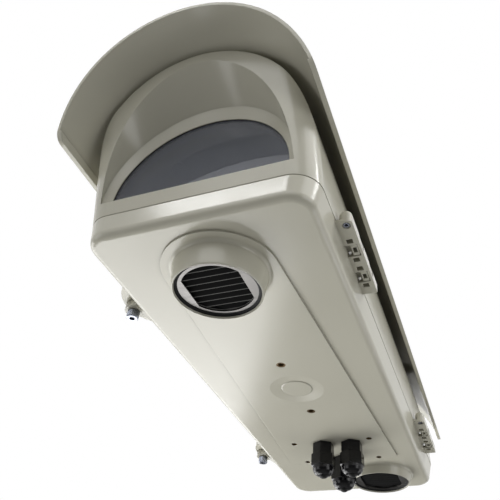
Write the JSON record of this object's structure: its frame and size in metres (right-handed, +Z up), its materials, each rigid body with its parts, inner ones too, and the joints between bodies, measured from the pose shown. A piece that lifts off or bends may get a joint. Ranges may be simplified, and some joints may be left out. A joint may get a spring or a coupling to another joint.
{
  "type": "security camera housing",
  "caption": "Weatherproof housing for a surveillance camera: a cast tray with vents and cable glands, a side-hinged cover with a hooded window, and a curved sunshield above.",
  "frame": {"origin": "On the slab under the tray, midway between the two bracket holes on the centre line.", "axes": "+Z up, out of the top of the sunshield; the window looks along -Y; the hinges are on the +X side."},
  "size_m": [0.2291, 0.6606, 0.2033],
  "materials": {
    "cast_paint": "gloss powder coat, warm light grey",
    "shield_paint": "gloss powder coat, warm light grey",
    "window_glass": "clear flat glass, looks dark from outside",
    "rubber_seal": "matt black rubber",
    "steel": "stainless steel, slightly blue",
    "vent_metal": "brushed stainless sheet",
    "vent_plastic": "matt black plastic",
    "gland_plastic": "glossy black plastic",
    "gland_rubber": "black rubber",
    "filter_foam": "open-pored dark foam",
    "fan_plastic": "matt black plastic",
    "sheet_zinc": "bright zinc-plated sheet",
    "heat_sink": "dark anodised extrusion",
    "board": "green lacquered circuit board",
    "terminal_plastic": "green moulded plastic",
    "switch_plastic": "dark brown moulding",
    "brass": "plain brass"
  },
  "bodies": {
    "tray": {"base_tray": "cast_paint", "bracket_inserts": "brass", "cover_seal": "rubber_seal", "hinge_pin_front": "steel", "hinge_pin_rear": "steel", "hinge_pin_screws": "steel", "vent_plate_front": "vent_metal", "louvre_front": "vent_plastic", "vent_filter_front": "filter_foam", "filter_retainer_front": "sheet_zinc", "vent_plate_rear": "vent_metal", "louvre_rear": "vent_plastic", "vent_filter_rear": "filter_foam", "filter_retainer_rear": "sheet_zinc", "retainer_screws": "steel", "fan_frame": "fan_plastic", "fan_screws": "steel", "camera_plate": "sheet_zinc", "plate_screws": "steel", "camera_screw": "steel", "terminal_board": "board", "board_screws": "steel", "terminal_blocks": "terminal_plastic", "terminal_clamps": "steel", "heater": "heat_sink", "temperature_switch": "switch_plastic", "floor_screws": "steel", "gland_bodies_small": "gland_plastic", "gland_caps_small": "gland_plastic", "gland_seals_small": "gland_rubber", "gland_nuts_small": "gland_plastic", "gland_body_large": "gland_plastic", "gland_cap_large": "gland_plastic", "gland_seal_large": "gland_rubber", "gland_nut_large": "gland_plastic"},
    "cover": {"top_cover": "cast_paint", "latch_inserts": "brass", "window_seal": "rubber_seal", "window_glass": "window_glass", "window_frame": "sheet_zinc", "window_screws": "steel", "sunshield": "shield_paint", "sunshield_posts": "vent_plastic", "sunshield_washers": "rubber_seal", "sunshield_screws": "steel"},
    "latch_front": {"latch_screw_front": "steel", "latch_ring_front": "steel"},
    "latch_rear": {"latch_screw_rear": "steel", "latch_ring_rear": "steel"},
    "fan": {"fan_rotor": "fan_plastic"}
  },
  "joints": [
    {"name": "cover_hinge", "type": "hinge", "parent": "tray", "child": "cover", "pos_m": [0.103, 0, 0.028], "axis": [0, 1, 0], "range_deg": [0, 100]},
    {"name": "latch_front_turn", "type": "hinge", "parent": "tray", "child": "latch_front", "pos_m": [-0.1116, -0.1465, 0.02], "axis": [0, 0, 1], "continuous": true},
    {"name": "latch_rear_turn", "type": "hinge", "parent": "tray", "child": "latch_rear", "pos_m": [-0.1116, 0.199, 0.02], "axis": [0, 0, 1], "continuous": true},
    {"name": "fan_spin", "type": "hinge", "parent": "tray", "child": "fan", "pos_m": [0.035, 0.2445, 0.015], "axis": [0, 0, 1], "continuous": true}
  ]
}
